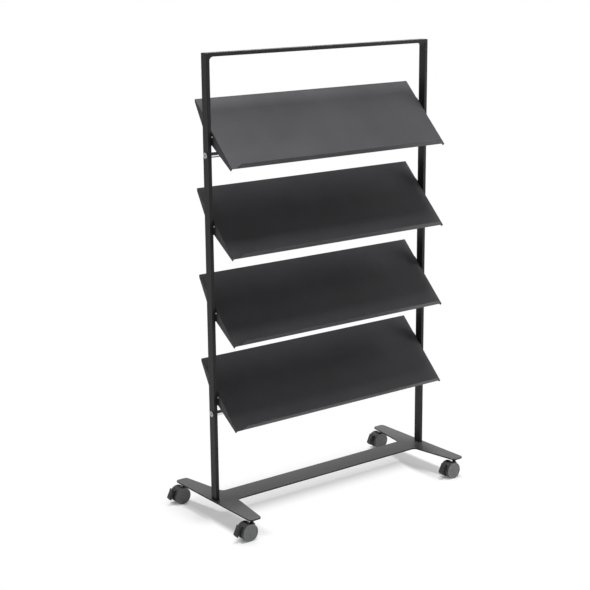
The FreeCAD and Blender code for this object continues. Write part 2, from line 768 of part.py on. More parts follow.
def make_housing(label, x, y):
    """Caster housing: a fin between the wheels with the stem socket and the pedal's tongue."""
    body = new_body(label + "_housing", x, y)
    axle = ("-trail", "-half_fin", "wheel_radius")
    far = "-trail - 2 * hood_radius"
    shape(body, "AdditiveCylinder", "fin", "Y", axle, Radius="hood_radius", Height="fin_width")
    block(body, "SubtractiveBox", "fin_foot", (far, "-fin_width", "-hood_radius"),
          ("2 * hood_radius", "fin_width", "housing_base"))
    block(body, "SubtractiveBox", "pedal_room", (far, "-fin_width", "-hood_radius"),
          ("-fin_end", "fin_width", "hinge_z + lug_radius + pedal_clearance"))
    block(body, "SubtractiveBox", "fin_front", (far, "-fin_width", "-hood_radius"),
          ("hinge_x + pedal_clearance", "fin_width", "3 * hood_radius"))
    shape(body, "AdditiveCylinder", "boss", place=("0", "0", "housing_base"),
          Radius="boss_radius", Height="housing_top - (housing_base)")
    shape(body, "AdditiveCylinder", "shoulder",
          place=("0", "0", "housing_top - shoulder_height"),
          Radius="shoulder_radius", Height="shoulder_height")
    top = value("housing_top")
    radius = value("shoulder_radius")

    def at_shoulder_rim(edge):
        curve = edge.Curve
        return (curve.TypeId == "Part::GeomCircle" and near(curve.Radius, radius)
                and near(curve.Center.z, top))

    round_edges(body, "shoulder_rim", "shoulder_round", at_shoulder_rim)
    for name, low, high in (("front", "-2 * shoulder_radius", "-half_fin"),
                            ("rear", "half_fin", "2 * shoulder_radius")):
        block(body, "SubtractiveBox", name + "_wheel_room",
              ("-2 * shoulder_radius", low, "0"),
              ("wheel_radius - trail + wheel_side_gap", high, "2 * hood_radius"))
    block(body, "AdditiveBox", "tongue",
          ("hinge_x", "-half_tongue", "hinge_z - eye_radius"),
          ("pedal_clearance - fin_end", "half_tongue", "hinge_z + eye_radius"))
    shape(body, "AdditiveCylinder", "eye", "Y", ("hinge_x", "-half_tongue", "hinge_z"),
          Radius="eye_radius", Height="tongue_width")
    shape(body, "SubtractiveCylinder", "collar_room", place=("0", "0", "housing_top"),
          Radius="collar_radius + 1", Height="hood_radius")
    shape(body, "SubtractiveCylinder", "socket", place=("0", "0", "pin_end - seat_gap"),
          Radius="pin_bore", Height="pin_length + seat_gap")
    shape(body, "SubtractiveCylinder", "ring_room", place=("0", "0", "ring_base - seat_gap"),
          Radius="ring_radius + seat_gap", Height="ring_thick + 2 * seat_gap")
    shape(body, "SubtractiveCylinder", "axle_hole", "Y", axle, Radius="axle_radius",
          Height="fin_width")
    shape(body, "SubtractiveCylinder", "hinge_hole", "Y", ("hinge_x", "-half_tongue", "hinge_z"),
          Radius="hinge_pin_radius", Height="tongue_width")


def make_axle(label, x, y):
    """Steel axle pressed into the housing, with a snap groove for each wheel."""
    body = new_body(label + "_axle", x + " - trail", y, "wheel_radius")
    turned(body, "axle", "Y", [("-axle_end", "0"), ("axle_end", "0"),
                               ("axle_end", "axle_radius"), ("-axle_end", "axle_radius")])
    low = "snap_place - snap_width / 2 - seat_gap"
    high = "snap_place + snap_width / 2 + seat_gap"
    groove = turned(body, "snap_groove", "Y", [
        (low, "axle_radius - snap_deep"), (high, "axle_radius - snap_deep"),
        (high, "2 * axle_radius"), (low, "2 * axle_radius")], kind="Groove")
    mirror(body, "snap_grooves", "XZ_Plane", [groove])


def make_wheel(label, place, sign, x, y):
    """Moulded wheel: rim, closed outer disc and a hub with a snap bead in its blind bore."""
    body = new_body("%s_wheel_%s" % (label, place), x + " - trail", y, "wheel_radius")
    radii = [
        ("disc_inside", "0"), ("disc_face", "0"), ("disc_face", "recess_radius"),
        ("wheel_outside", "recess_radius"), ("wheel_outside", "wheel_radius"),
        ("wheel_inside", "wheel_radius"), ("wheel_inside", "wheel_radius - rim_thick"),
        ("disc_inside", "wheel_radius - rim_thick"), ("disc_inside", "hub_radius"),
        ("half_fin + seat_gap", "hub_radius"), ("half_fin + seat_gap", "axle_bore"),
        ("snap_place - snap_width / 2", "axle_bore"),
        ("snap_place - snap_width / 2", "axle_radius - snap_deep / 2"),
        ("snap_place + snap_width / 2", "axle_radius - snap_deep / 2"),
        ("snap_place + snap_width / 2", "axle_bore"),
        ("disc_inside", "axle_bore")]
    turned(body, "wheel", "Y", [("%d * (%s)" % (sign, along), radius) for along, radius in radii])
    face = value("wheel_outside") * sign
    radius = value("wheel_radius")

    def at_outer_rim(edge):
        curve = edge.Curve
        return (curve.TypeId == "Part::GeomCircle" and near(curve.Radius, radius)
                and near(curve.Center.y, face))

    round_edges(body, "rim_round", "wheel_round", at_outer_rim)


def make_pedal(label, x, y):
    """Brake pedal: a tilted blade with a forked lug that turns on the hinge pin."""
    body = new_body(label + "_brake_pedal", x + " - trail", y, "wheel_radius")
    blade = ("head", "tip", "toe", "back")
    corners = [("-pedal_%s_out" % name, "pedal_%s_up" % name) for name in blade]
    corners.append(("-hinge_out", "hinge_up + lug_radius + pedal_clearance"))
    profile = outline(body, "blade_outline", "XZ_Plane", corners)
    pad(body, profile, "blade", "pedal_width", both_ways=True)

    def at_blade_corner(edge):
        centre = edge.CenterOfMass
        return runs_along(edge, 1) and any(
            near(centre.x, -value("pedal_%s_out" % name))
            and near(centre.z, value("pedal_%s_up" % name)) for name in ("head", "toe"))

    round_edges(body, "blade_corners", "pedal_round", at_blade_corner)
    shape(body, "AdditiveCylinder", "lug", "Y", ("-hinge_out", "-half_pedal", "hinge_up"),
          Radius="lug_radius", Height="pedal_width")
    block(body, "SubtractiveBox", "slot",
          ("-hinge_out - lug_radius - pedal_clearance / 2", "-half_slot", "-hood_radius"),
          ("0", "half_slot", "2 * hood_radius"))
    shape(body, "SubtractiveCylinder", "pin_hole", "Y", ("-hinge_out", "-half_pedal", "hinge_up"),
          Radius="hinge_pin_radius + running_gap", Height="pedal_width")


def make_hinge_pin(label, x, y):
    """Steel pin pressed through the housing's tongue; the pedal turns on its ends."""
    body = new_body(label + "_pedal_pin", x + " - trail", y, "wheel_radius")
    shape(body, "AdditiveCylinder", "pin", "Y",
          ("-hinge_out", "running_gap - half_pedal", "hinge_up"),
          Radius="hinge_pin_radius", Height="pedal_width - 2 * running_gap")


# ---------------------------------------------------------------- build, check and write


def make_all():
    """Make every sub-part."""
    make_base_plate()
    for side, sign in SIDES.items():
        make_upright(side, sign)
        make_gusset(side, sign)
    make_top_rail()
    make_cross_tubes()
    make_cross_plugs()
    make_cross_bolts()
    make_foot_plugs()
    make_foot_screws()
    for number, label in enumerate(SHELF_NAMES):
        make_shelf(number, label)
        for side, sign in SIDES.items():
            make_bracket(side, sign, number, label[-1])
    make_bracket_screws()
    make_shelf_screws()
    make_shelf_nuts()
    make_caster_bushes()
    make_caster_stems()
    make_stem_rings()
    for label, (side, depth) in CASTERS.items():
        x = "frame_shift + %d * caster_x" % side
        y = "%d * caster_y" % depth
        make_housing(label, x, y)
        make_axle(label, x, y)
        make_hinge_pin(label, x, y)
        make_pedal(label, x, y)
        make_wheel(label, "front", -1, x, y)
        make_wheel(label, "rear", 1, x, y)


def check_all():
    """Stop if any object failed or any sub-part has no sound shape."""
    for item in doc.Objects:
        if "Invalid" in item.State or "Error" in item.State:
            raise RuntimeError("failed: %s %s" % (item.Label, item.State))
    for body in bodies:
        if body.Shape.isNull() or not body.Shape.isValid():
            raise RuntimeError("no sound shape: " + body.Label)


make_all()
doc.recompute()
check_all()
os.makedirs("parts", exist_ok=True)
for body in bodies:
    body.Shape.exportStep("parts/%s.step" % body.Label)
    solids = len(body.Shape.Solids)
    volume = body.Shape.Volume / 1000
    print("%-28s %2d solid(s) %9.2f cm3" % (body.Label, solids, volume))
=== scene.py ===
"""Mobile periodical rack: finishes, caster mouldings, weld beads, studio and camera.

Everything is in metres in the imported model's frame: X to the reader's right, Y to the
back, Z up, floor at Z = 0.
"""

from __future__ import annotations

import json
import logging
import math
from dataclasses import dataclass, field
from enum import Enum
from typing import Any, Iterable, Mapping, Optional, Union

import bpy
import numpy as np
from mathutils import Matrix, Vector


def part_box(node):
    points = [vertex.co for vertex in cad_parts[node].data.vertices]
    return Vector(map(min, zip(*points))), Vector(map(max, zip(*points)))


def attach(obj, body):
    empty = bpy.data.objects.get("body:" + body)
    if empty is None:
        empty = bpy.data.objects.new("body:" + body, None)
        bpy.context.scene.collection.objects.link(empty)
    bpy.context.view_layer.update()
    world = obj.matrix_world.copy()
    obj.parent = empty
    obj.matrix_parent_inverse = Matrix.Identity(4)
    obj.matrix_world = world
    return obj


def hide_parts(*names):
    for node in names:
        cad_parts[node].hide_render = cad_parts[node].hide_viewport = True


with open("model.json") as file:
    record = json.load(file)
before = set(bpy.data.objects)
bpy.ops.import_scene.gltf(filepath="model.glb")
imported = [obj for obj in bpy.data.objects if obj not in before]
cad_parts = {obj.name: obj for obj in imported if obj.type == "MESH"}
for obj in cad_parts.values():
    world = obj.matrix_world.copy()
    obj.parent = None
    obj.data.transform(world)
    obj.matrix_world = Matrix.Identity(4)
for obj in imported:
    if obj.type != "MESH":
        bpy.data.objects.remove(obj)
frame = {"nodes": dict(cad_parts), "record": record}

LOG = logging.getLogger("rack")
MM = 0.001
Colour = tuple[float, float, float]
Value = Union["Wire", float, int, tuple, Vector]


# ---------------------------------------------------------------- nodes


class Wire:
    """A socket that leaves a node; Python's operators on it add Math nodes."""

    def __init__(self, bench: "Bench", socket: Optional[bpy.types.NodeSocket]) -> None:
        """Keep the socket and the bench that its nodes are made on."""
        self.bench = bench
        self.socket = socket

    def math(self, operation: str, *values: Value) -> "Wire":
        """Add a Math node.

        Args:
            operation: the node's operation.
            values: what goes into its sockets, in order.

        Returns:
            The result as a wire.
        """
        sockets = dict(enumerate(values))
        return self.bench.node("ShaderNodeMath", {"operation": operation}, sockets)

    def __add__(self, other: Value) -> "Wire":
        """Add a value."""
        return self.math("ADD", self, other)

    def __radd__(self, other: Value) -> "Wire":
        """Add to a value."""
        return self.math("ADD", other, self)

    def __sub__(self, other: Value) -> "Wire":
        """Take a value away."""
        return self.math("SUBTRACT", self, other)

    def __rsub__(self, other: Value) -> "Wire":
        """Take away from a value."""
        return self.math("SUBTRACT", other, self)

    def __mul__(self, other: Value) -> "Wire":
        """Multiply by a value."""
        return self.math("MULTIPLY", self, other)

    def __rmul__(self, other: Value) -> "Wire":
        """Multiply a value."""
        return self.math("MULTIPLY", other, self)

    def __pow__(self, other: Value) -> "Wire":
        """Raise to a power."""
        return self.math("POWER", self, other)

    def size(self) -> "Wire":
        """Drop the sign."""
        return self.math("ABSOLUTE", self)

    def lesser(self, other: Value) -> "Wire":
        """Give the lesser of this and another value."""
        return self.math("MINIMUM", self, other)

    def greater(self, other: Value) -> "Wire":
        """Give the greater of this and another value."""
        return self.math("MAXIMUM", self, other)

    def clamp(self) -> "Wire":
        """Hold the value between 0 and 1."""
        return self.greater(0.0).lesser(1.0)

    def spread(self, low: float, high: float) -> "Wire":
        """Stretch the values from low to high over 0 to 1, softly at both ends.

        Args:
            low: the value that becomes 0.
            high: the value that becomes 1.

        Returns:
            The stretched value as a wire.
        """
        settings = {"interpolation_type": "SMOOTHSTEP"}
        sockets = {"Value": self, "From Min": low, "From Max": high}
        return self.bench.node("ShaderNodeMapRange", settings, sockets)


class Bench:
    """One material's node tree, with short ways to add nodes."""

    def __init__(self, name: str, owner: Optional[bpy.types.World] = None) -> None:
        """Start an empty material, or empty the nodes of a world.

        Args:
            name: the new material's name.
            owner: a world whose nodes are made instead of a material's.
        """
        self.material = owner or bpy.data.materials.new(name)
        self.material.use_nodes = True
        self.tree = self.material.node_tree
        self.tree.nodes.clear()
        self._place: Optional[Wire] = None

    def node(
        self,
        kind: str,
        settings: Mapping[str, Any],
        sockets: Mapping[Union[int, str], Value],
        output: Union[int, str] = 0,
    ) -> Wire:
        """Add one node.

        Args:
            kind: the node's type.
            settings: its properties, set before its sockets.
            sockets: values or wires for its inputs, by name or number.
            output: which of its outputs is wanted.

        Returns:
            That output as a wire, which is empty where the node has no outputs.
        """
        made = self.tree.nodes.new(kind)
        for name, setting in settings.items():
            setattr(made, name, setting)
        for key, value in sockets.items():
            if isinstance(value, Wire):
                self.tree.links.new(value.socket, made.inputs[key])
            else:
                made.inputs[key].default_value = value
        return Wire(self, made.outputs[output] if len(made.outputs) else None)

    @property
    def place(self) -> Wire:
        """The point's place in the frame, in metres, made when it is first asked for.

        Returns:
            The place as a wire.
        """
        if self._place is None:
            self._place = self.node("ShaderNodeTexCoord", {}, {}, "Object")
        return self._place

    def stretched(self, scale: tuple[float, float, float]) -> Wire:
        """Give the place scaled along each axis."""
        sockets = {"Vector": self.place, "Scale": scale}
        return self.node("ShaderNodeMapping", {"vector_type": "POINT"}, sockets)

    def noise(self, size: float, detail: float = 2.0, where: Optional[Wire] = None) -> Wire:
        """Give soft noise from 0 to 1 whose lumps are about one size across."""
        sockets = {"Vector": where or self.place, "Scale": 1.0 / size, "Detail": detail}
        return self.node("ShaderNodeTexNoise", {}, sockets, 0)

    def blend(self, factor: Value, first: Value, second: Value) -> Wire:
        """Mix two colours.

        Args:
            factor: how much of the second colour there is, from 0 to 1.
            first: the colour where the factor is 0.
            second: the colour where the factor is 1.

        Returns:
            The mixed colour as a wire.
        """
        settings = {"data_type": "RGBA", "clamp_factor": True}
        colours = [v if isinstance(v, Wire) else (*v, 1.0) for v in (first, second)]
        sockets = {0: factor, 6: colours[0], 7: colours[1]}
        return self.node("ShaderNodeMix", settings, sockets, 2)

    def normal(self) -> Wire:
        """Give the surface's own normal."""
        return self.node("ShaderNodeNewGeometry", {}, {}, "Normal")

    def dot(self, first: Value, second: Value) -> Wire:
        """Give two vectors' scalar product."""
        settings = {"operation": "DOT_PRODUCT"}
        return self.node("ShaderNodeVectorMath", settings, {0: first, 1: second}, "Value")

    def facing_up(self) -> Wire:
        """Give 1 on faces that look straight up and 0 on upright and hanging ones."""
        return self.dot(self.normal(), (0.0, 0.0, 1.0)).clamp()

    def edge(self, radius: float) -> tuple[Wire, Wire]:
        """Find the piece's edges by rounding them a little.

        Args:
            radius: how far from an edge the rounding reaches.

        Returns:
            How much of an edge a point is, from 0 to 1, and the rounded normal.
        """
        rounded = self.node("ShaderNodeBevel", {"samples": 6}, {"Radius": radius})
        same = self.dot(rounded, self.normal())
        return (1.0 - same).spread(0.02, 0.30), rounded

    def bump(self, height: Value, depth: float, strength: float, normal: Optional[Wire]) -> Wire:
        """Raise and sink the surface.

        Args:
            height: how high each point stands, from 0 to 1.
            depth: what a height of 1 is, in metres.
            strength: how much of the relief shows.
            normal: the normal that the relief starts from, or the surface's own.

        Returns:
            The new normal as a wire.
        """
        sockets: dict[Union[int, str], Value] = {
            "Height": height, "Distance": depth, "Strength": strength}
        if normal is not None:
            sockets["Normal"] = normal
        return self.node("ShaderNodeBump", {}, sockets)

    def finish(self, **sockets: Value) -> bpy.types.Material:
        """Close the material with a shader.

        Args:
            sockets: the shader's inputs, with underscores for spaces.

        Returns:
            The finished material.
        """
        named = {name.replace("_", " "): value for name, value in sockets.items()}
        colour = named.get("Base Color")
        if colour is not None and not isinstance(colour, Wire):
            named["Base Color"] = (*colour, 1.0)
        shader = self.node("ShaderNodeBsdfPrincipled", {}, named)
        self.node("ShaderNodeOutputMaterial", {}, {"Surface": shader})
        return self.material


# ---------------------------------------------------------------- finishes


@dataclass(frozen=True)
class PowderCoat:
    """Black powder coat on steel: fine peel, cloudy gloss, thin and rubbed at the edges."""

    name: str
    tone: Colour
    gloss_break: float = 0.50
    gloss_level: float = 0.35
    peel_size: float = 0.9 * MM
    peel_depth: float = 0.05 * MM
    pit_size: float = 0.24 * MM
    pit_depth: float = 0.012 * MM
    cloud_size: float = 160.0 * MM
    patch_size: float = 21.0 * MM
    chip_size: float = 4.0 * MM
    edge_reach: float = 0.9 * MM
    rub: float = 0.35
    dust: float = 0.25
    dust_tone: Colour = (0.42, 0.41, 0.39)
    # painted shade: faces that don't look up are painted this much darker, for the light they
    # miss; 1 paints none
    painted_side_shade: float = 1.0

    def make(self) -> bpy.types.Material:
        """Make the material.

        The tone and the gloss wander a little with two sizes of clouds. Where painted_side_shade
        is below 1, faces that don't look up are painted darker by that factor: painted shade that
        stands in for the light they miss. Edges are rubbed in chips, and a little dust lies in
        patches on faces that look up.

        Returns:
            The finished material.
        """
        bench = Bench(self.name)
        edge, rounded = bench.edge(self.edge_reach)
        cloud = bench.noise(self.cloud_size, 3.0)
        patch = bench.noise(self.patch_size, 2.0)
        peel = bench.noise(self.peel_size, 3.0)
        pitted = bench.noise(self.pit_size, 1.0)
        light = tuple(1.07 * c for c in self.tone)
        dark = tuple(0.94 * c for c in self.tone)
        colour = bench.blend(cloud.spread(0.3, 0.7), dark, light)
        # Painted shade: faces that don't look up get a darker colour in place of the light they
        # miss.
        if self.painted_side_shade < 1.0:
            shaded_sides = tuple(self.painted_side_shade * c for c in self.tone)
            colour = bench.blend(bench.facing_up().spread(0.35, 0.75), shaded_sides, colour)
        worn = edge * bench.noise(self.chip_size, 3.0).spread(0.42, 0.72) * self.rub
        rubbed = tuple(0.09 + 2.2 * c for c in self.tone)
        colour = bench.blend(worn.clamp(), colour, rubbed)
        lying = bench.facing_up() * patch.spread(0.35, 0.75) * (0.04 * self.dust)
        colour = bench.blend(lying.clamp(), colour, self.dust_tone)
        rough = (cloud - 0.5) * 0.10 + (patch - 0.5) * 0.06 + self.gloss_break - worn * 0.18
        skin = bench.bump(peel, self.peel_depth, 0.55, rounded)
        skin = bench.bump(pitted, self.pit_depth, 0.35, skin)
        return bench.finish(Base_Color=colour, Roughness=rough.clamp(), Normal=skin,
                            Specular_IOR_Level=self.gloss_level)


@dataclass(frozen=True)
class Chrome:
    """Polished chrome plate on tube: faint drawing lines and finger smudges."""

    name: str
    tone: Colour = (0.78, 0.785, 0.80)
    gloss_break: float = 0.075
    lines_along: float = 18.0
    lines_across: float = 2600.0
    smudge_size: float = 35.0 * MM

    def make(self) -> bpy.types.Material:
        """Make the material.

        The drawing lines are noise that is stretched along X, the way the tubes run.

        Returns:
            The finished material.
        """
        bench = Bench(self.name)
        scale = (self.lines_along, self.lines_across, self.lines_across)
        drawn = bench.noise(1.0, 2.0, bench.stretched(scale))
        smudge = bench.noise(self.smudge_size, 4.0).spread(0.52, 0.70)
        colour = bench.blend(smudge * 0.25, self.tone, tuple(0.86 * c for c in self.tone))
        rough = drawn * 0.035 + smudge * 0.09 + self.gloss_break
        skin = bench.bump(drawn, 0.004 * MM, 0.25, None)
        return bench.finish(Base_Color=colour, Metallic=1.0, Roughness=rough.clamp(), Normal=skin)


@dataclass(frozen=True)
class Zinc:
    """Zinc plate on turned steel: soft gloss, fine grain and faint yellowish clouds."""

    name: str
    tone: Colour
    gloss_break: float = 0.30
    grain_size: float = 0.35 * MM
    cloud_size: float = 6.0 * MM

    def make(self) -> bpy.types.Material:
        """Make the material.

        Returns:
            The finished material.
        """
        bench = Bench(self.name)
        grain = bench.noise(self.grain_size, 3.0)
        cloud = bench.noise(self.cloud_size, 2.0)
        tint = tuple(c * f for c, f in zip(self.tone, (0.88, 0.86, 0.82)))
        colour = bench.blend(cloud.spread(0.35, 0.70), self.tone, tint)
        rough = grain * 0.16 + (cloud - 0.5) * 0.12 + self.gloss_break
        skin = bench.bump(grain, 0.01 * MM, 0.30, None)
        return bench.finish(Base_Color=colour, Metallic=1.0, Roughness=rough.clamp(), Normal=skin)


@dataclass(frozen=True)
class Nylon:
    """Moulded nylon: matt spark-eroded grain, faint flow marks, scuffed edges."""

    name: str
    tone: Colour
    gloss_break: float = 0.46
    grain_size: float = 0.32 * MM
    grain_depth: float = 0.03 * MM
    flow_size: float = 11.0 * MM
    chip_size: float = 2.5 * MM
    edge_reach: float = 0.6 * MM
    scuff: float = 0.30
    tread: Optional[Colour] = None

    def make(self) -> bpy.types.Material:
        """Make the material.

        A tread colour shows where the mesh's own attribute of that name is 1.

        Returns:
            The finished material.
        """
        bench = Bench(self.name)
        edge, rounded = bench.edge(self.edge_reach)
        grain = bench.noise(self.grain_size, 2.0)
        flow = bench.noise(self.flow_size, 3.0)
        pale = tuple(1.08 * c + 0.002 for c in self.tone)
        deep = tuple(0.94 * c for c in self.tone)
        colour = bench.blend(flow.spread(0.3, 0.7), deep, pale)
        if self.tread is not None:
            mask = bench.node("ShaderNodeAttribute", {"attribute_name": "tread"}, {}, "Fac")
            colour = bench.blend(mask, colour, self.tread)
        worn = edge * bench.noise(self.chip_size, 3.0).spread(0.40, 0.70) * self.scuff
        colour = bench.blend(worn.clamp(), colour, tuple(0.10 + 1.5 * c for c in self.tone))
        rough = (flow - 0.5) * 0.14 + grain * 0.10 + self.gloss_break
        skin = bench.bump(grain, self.grain_depth, 0.45, rounded)
        return bench.finish(Base_Color=colour, Roughness=rough.clamp(), Normal=skin)


# The record's material slots and the finish that each of them gets.
FINISHES = {
    "frame_black": PowderCoat("frame_black", (0.024, 0.024, 0.025), gloss_level=0.22),
    "shelf_black": PowderCoat("shelf_black", (0.070, 0.0688, 0.0738), gloss_level=0.20),
    # The base plate's side faces get painted shade, a darker colour for the light they miss.
    "base_black": PowderCoat("base_black", (0.086, 0.086, 0.088), dust=0.5, painted_side_shade=0.08),
    "bracket_black": PowderCoat("bracket_black", (0.024, 0.024, 0.025), gloss_level=0.22),
    "chrome_tube": Chrome("chrome_tube"),
    "bolt_zinc": Zinc("bolt_zinc", (0.42, 0.423, 0.43)),
    "screw_zinc": Zinc("screw_zinc", (0.72, 0.72, 0.73), gloss_break=0.22),
    "plain_steel": Zinc("plain_steel", (0.48, 0.48, 0.49), gloss_break=0.36),
    "stem_steel": PowderCoat("stem_steel", (0.018, 0.018, 0.019), dust=0.0),
    "caster_black": Nylon("caster_black", (0.060, 0.060, 0.062)),
    "pedal_black": Nylon("pedal_black", (0.034, 0.034, 0.035)),
    "wheel_grey": Nylon("wheel_grey", (0.165, 0.167, 0.171), gloss_break=0.50,
                        tread=(0.055, 0.055, 0.057)),
}


class Finisher:
    """Makes each finish once and gives it to the pieces of its slot."""

    def __init__(self, record: Mapping[str, Any]) -> None:
        """Read which slot each of the record's nodes takes."""
        self.slots = {part["node"]: part["material_slot"] for part in record["subparts"]}
        self.made: dict[str, bpy.types.Material] = {}

    def material(self, slot: str) -> bpy.types.Material:
        """Give a slot's material, made when it is first asked for.

        Args:
            slot: the slot's name in the record.

        Returns:
            The material.
        """
        if slot not in self.made:
            self.made[slot] = FINISHES[slot].make()
        return self.made[slot]

    def dress(self, node: str) -> None:
        """Put a node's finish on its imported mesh.

        Args:
            node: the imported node's name.
        """
        mesh = frame["nodes"][node].data
        mesh.materials.clear()
        mesh.materials.append(self.material(self.slots[node]))


# ---------------------------------------------------------------- surfaces


def smooth_step(value: np.ndarray, low: float, high: float) -> np.ndarray:
    """Rise softly from 0 to 1.

    With t the place of the value between low and high, held between 0 and 1, the result
    is t^2 (3 - 2 t).

    Args:
        value: the values.
        low: where the rise starts.
        high: where it ends.

    Returns:
        The risen values.
    """
    t = np.clip((value - low) / (high - low), 0, 1)
    return t * t * (3 - 2 * t)


def soften(corners: np.ndarray, rounds: np.ndarray, steps: int = 5) -> np.ndarray:
    """Round the corners of an outline.

    Each corner C with neighbours A and B gives points of the quadratic curve
    (1-t)^2 P + 2 t (1-t) C + t^2 Q, where P and Q lie on the two sides, one round away
    from C and at most at the middle of the side.

    Args:
        corners: the outline's corners, one row each.
        rounds: how far each corner's rounding reaches along its sides; a corner stays
            sharp, as an open outline's ends do, where it is 0.
        steps: how many points a rounded corner gets.

    Returns:
        The rounded outline's points, one row each.
    """
    before = np.roll(corners, 1, axis=0) - corners
    after = np.roll(corners, -1, axis=0) - corners
    long_before = np.linalg.norm(before, axis=1)
    long_after = np.linalg.norm(after, axis=1)
    reach = np.minimum(rounds, 0.5 * np.minimum(long_before, long_after))
    start = corners + before * (reach / long_before)[:, None]
    end = corners + after * (reach / long_after)[:, None]
    t = np.linspace(0.0, 1.0, steps)[None, :, None]
    curve = ((1 - t) ** 2 * start[:, None] + 2 * t * (1 - t) * corners[:, None]
             + t ** 2 * end[:, None])
    pieces = [curve[i] if rounds[i] > 0 else corners[i : i + 1] for i in range(len(corners))]
    return np.concatenate(pieces)


def grid_faces(rows: int, columns: int, wrap_rows: bool, wrap_columns: bool) -> np.ndarray:
    """List the four-sided faces of a grid of points.

    Face (i, j) joins the points (i, j), (i, j+1), (i+1, j+1) and (i+1, j), counted along
    the columns first.

    Args:
        rows: how many rows of points there are.
        columns: how many points a row has.
        wrap_rows: whether the last row joins the first.
        wrap_columns: whether each row's last point joins its first.

    Returns:
        One row of four point numbers for each face.
    """
    i, j = np.meshgrid(
        np.arange(rows if wrap_rows else rows - 1),
        np.arange(columns if wrap_columns else columns - 1),
        indexing="ij",
    )
    down, along = (i + 1) % rows, (j + 1) % columns
    quads = np.stack([i * columns + j, i * columns + along,
                      down * columns + along, down * columns + j], axis=-1)
    return quads.reshape(-1, 4)


@dataclass
class Shell:
    """A closed surface: its points, its faces and how much tread each point is."""

    points: np.ndarray
    faces: list[np.ndarray] = field(default_factory=list)
    tread: Optional[np.ndarray] = None

    def volume(self) -> float:
        """Measure what the surface holds.

        Each face is cut into triangles (a, b, c), and the products a . (b x c) are added.

        Returns:
            Six times the enclosed volume, which is positive where the faces look out.
        """
        total = 0.0
        for faces in self.faces:
            a = self.points[faces[:, 0]]
            for k in range(1, faces.shape[1] - 1):
                b, c = self.points[faces[:, k]], self.points[faces[:, k + 1]]
                total += float(np.einsum("ij,ij->", a, np.cross(b, c)))
        return total

    def outward(self) -> "Shell":
        """Turn every face round if they look inwards.

        Returns:
            This surface.
        """
        if self.volume() < 0:
            self.faces = [faces[:, ::-1] for faces in self.faces]
        return self


def joined(shells: Iterable[Shell]) -> Shell:
    """Put several closed surfaces into one.

    Args:
        shells: the surfaces, whose tread isn't kept.

    Returns:
        One surface with all their points and faces.
    """
    points, faces, start = [], [], 0
    for shell in shells:
        points.append(shell.points)
        faces += [part + start for part in shell.faces]
        start += len(shell.points)
    return Shell(np.concatenate(points), faces)


def make_piece(name: str, shell: Shell, material: bpy.types.Material) -> bpy.types.Object:
    """Put a surface into a mesh object that stands at the frame's origin.

    Args:
        name: the piece's name.
        shell: its points in the frame, and its faces.
        material: its finish.

    Returns:
        The new object, linked to the scene.
    """
    mesh = bpy.data.meshes.new(name)
    sizes = np.concatenate([np.full(len(part), part.shape[1]) for part in shell.faces])
    corners = np.concatenate([part.ravel() for part in shell.faces])
    mesh.vertices.add(len(shell.points))
    mesh.vertices.foreach_set("co", shell.points.astype(np.float32).ravel())
    mesh.loops.add(len(corners))
    mesh.loops.foreach_set("vertex_index", corners.astype(np.int32))
    mesh.polygons.add(len(sizes))
    starts = np.concatenate([[0], np.cumsum(sizes)[:-1]])
    mesh.polygons.foreach_set("loop_start", starts.astype(np.int32))
    mesh.polygons.foreach_set("use_smooth", np.ones(len(sizes), bool))
    mesh.update(calc_edges=True)
    mesh.validate()
    if shell.tread is not None:
        mask = mesh.attributes.new("tread", "FLOAT", "POINT")
        mask.data.foreach_set("value", shell.tread.astype(np.float32))
    mesh.materials.append(material)
    piece = bpy.data.objects.new(name, mesh)
    bpy.context.scene.collection.objects.link(piece)
    return piece


# ---------------------------------------------------------------- casters


class Corner(Enum):
    """The foot that a caster stands under."""

    FRONT_LEFT = "front_left"
    FRONT_RIGHT = "front_right"
    REAR_LEFT = "rear_left"
    REAR_RIGHT = "rear_right"


class WheelSide(Enum):
    """Which of a caster's two wheels: the one nearer to the front or to the rear."""

    FRONT = ("front", -1.0)
    REAR = ("rear", 1.0)


